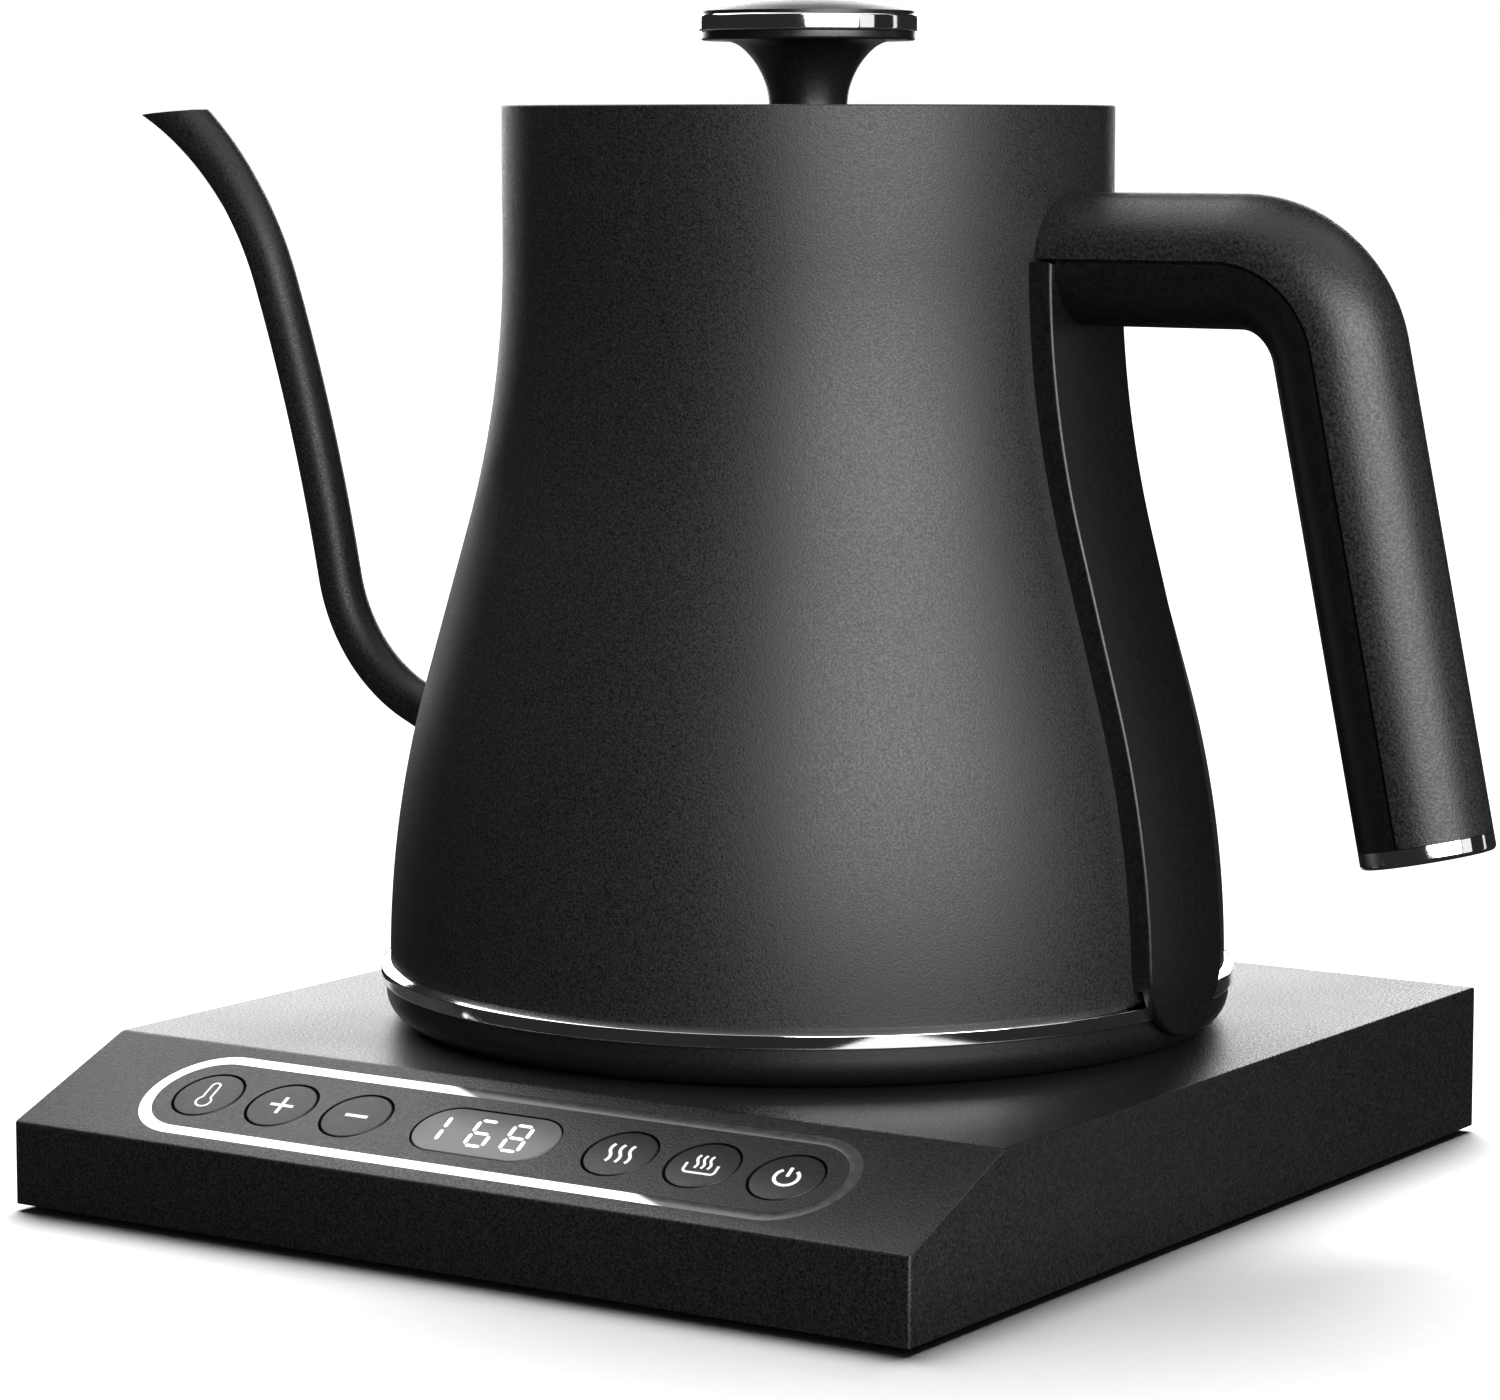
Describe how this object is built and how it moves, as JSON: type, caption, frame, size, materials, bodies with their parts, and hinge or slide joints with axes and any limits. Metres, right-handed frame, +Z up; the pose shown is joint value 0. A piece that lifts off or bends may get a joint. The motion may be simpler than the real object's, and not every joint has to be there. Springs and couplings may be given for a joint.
{
  "type": "gooseneck kettle",
  "caption": "Electric gooseneck kettle with a slender curved pouring tube, a bent side handle and a lift-off lid, on a square base with a sloping key panel.",
  "frame": {"origin": "on the table, under the middle of the object's bounding box, with the feet at z = 0", "axes": "+X from the spout towards the handle, +Y from the key panel towards the rear, +Z up"},
  "size_m": [0.2852, 0.1982, 0.2068],
  "materials": {
    "coated_steel": "matte black powder coat with a fine grain",
    "coated_handle": "matte black soft-touch coat with a fine grain",
    "smooth_plastic": "smooth satin black",
    "base_plastic": "matte black with a fine grain",
    "inner_plastic": "plain black moulding",
    "knob_plastic": "satin black",
    "button_plastic": "satin black with white symbols",
    "chrome": "polished",
    "stainless": "brushed stainless steel",
    "screw_steel": "plated steel",
    "aluminium": "bare",
    "contact_brass": "bare",
    "rubber": "matte",
    "display_glass": "smoked, glossy",
    "display_block": "display block",
    "light_guide": "milky light guide",
    "circuit_board": "green solder mask",
    "switch_parts": "plain",
    "transformer_core": "varnished laminations"
  },
  "bodies": {
    "base": {"base_cover": "base_plastic", "base_plate": "inner_plastic", "base_feet": "rubber", "base_screws": "screw_steel", "base_connector": "inner_plastic", "base_contacts": "contact_brass", "panel_board": "circuit_board", "board_screws": "screw_steel", "key_switches": "switch_parts", "display_window": "display_glass", "display_module": "display_block", "control_ring": "light_guide", "power_board": "circuit_board", "board_standoffs": "screw_steel", "relay": "inner_plastic", "transformer": "transformer_core", "buzzer": "inner_plastic", "cord_gland": "rubber"},
    "coupling": {"kettle_connector": "inner_plastic", "connector_pins": "contact_brass"},
    "kettle": {"body_shell": "coated_steel", "spout": "coated_steel", "lid_seat": "stainless", "trim_ring": "chrome", "foot_housing": "inner_plastic", "foot_screws": "screw_steel", "vessel_floor": "stainless", "heat_spreader": "aluminium", "heating_element": "stainless", "element_terminals": "stainless", "temperature_probe": "stainless", "probe_seal": "rubber", "thermal_cutout": "inner_plastic", "handle_shell": "coated_handle", "handle_insert": "smooth_plastic", "handle_strip": "smooth_plastic", "handle_core": "stainless", "handle_cap": "chrome", "cap_screw": "screw_steel"},
    "lid": {"lid_cover": "stainless", "lid_liner": "stainless", "lid_gasket": "rubber", "knob_stem": "knob_plastic", "knob_ring": "chrome", "knob_cap": "knob_plastic", "knob_washer": "stainless", "knob_screw": "screw_steel"},
    "button_temperature": {"button_temperature": "button_plastic"},
    "button_plus": {"button_plus": "button_plastic"},
    "button_minus": {"button_minus": "button_plastic"},
    "button_keep_warm": {"button_keep_warm": "button_plastic"},
    "button_boil": {"button_boil": "button_plastic"},
    "button_power": {"button_power": "button_plastic"}
  },
  "joints": [
    {"name": "kettle_lift", "type": "slide", "parent": "base", "child": "coupling", "axis": [0, 0, 1], "range_m": [0, 0.08]},
    {"name": "kettle_swivel", "type": "hinge", "parent": "coupling", "child": "kettle", "pos_m": [0.0097, 0.0114, 0.03], "axis": [0, 0, 1], "continuous": true},
    {"name": "lid_lift", "type": "slide", "parent": "kettle", "child": "lid", "axis": [0, 0, 1], "range_m": [0, 0.06]},
    {"name": "temperature_press", "type": "slide", "parent": "base", "child": "button_temperature", "axis": [0, 0.3776, -0.926], "range_m": [0, 0.0006], "stiffness_N_per_m": 400, "springref_m": -0.0015},
    {"name": "plus_press", "type": "slide", "parent": "base", "child": "button_plus", "axis": [0, 0.3776, -0.926], "range_m": [0, 0.0006], "stiffness_N_per_m": 400, "springref_m": -0.0015},
    {"name": "minus_press", "type": "slide", "parent": "base", "child": "button_minus", "axis": [0, 0.3776, -0.926], "range_m": [0, 0.0006], "stiffness_N_per_m": 400, "springref_m": -0.0015},
    {"name": "keep_warm_press", "type": "slide", "parent": "base", "child": "button_keep_warm", "axis": [0, 0.3776, -0.926], "range_m": [0, 0.0006], "stiffness_N_per_m": 400, "springref_m": -0.0015},
    {"name": "boil_press", "type": "slide", "parent": "base", "child": "button_boil", "axis": [0, 0.3776, -0.926], "range_m": [0, 0.0006], "stiffness_N_per_m": 400, "springref_m": -0.0015},
    {"name": "power_press", "type": "slide", "parent": "base", "child": "button_power", "axis": [0, 0.3776, -0.926], "range_m": [0, 0.0006], "stiffness_N_per_m": 400, "springref_m": -0.0015}
  ]
}
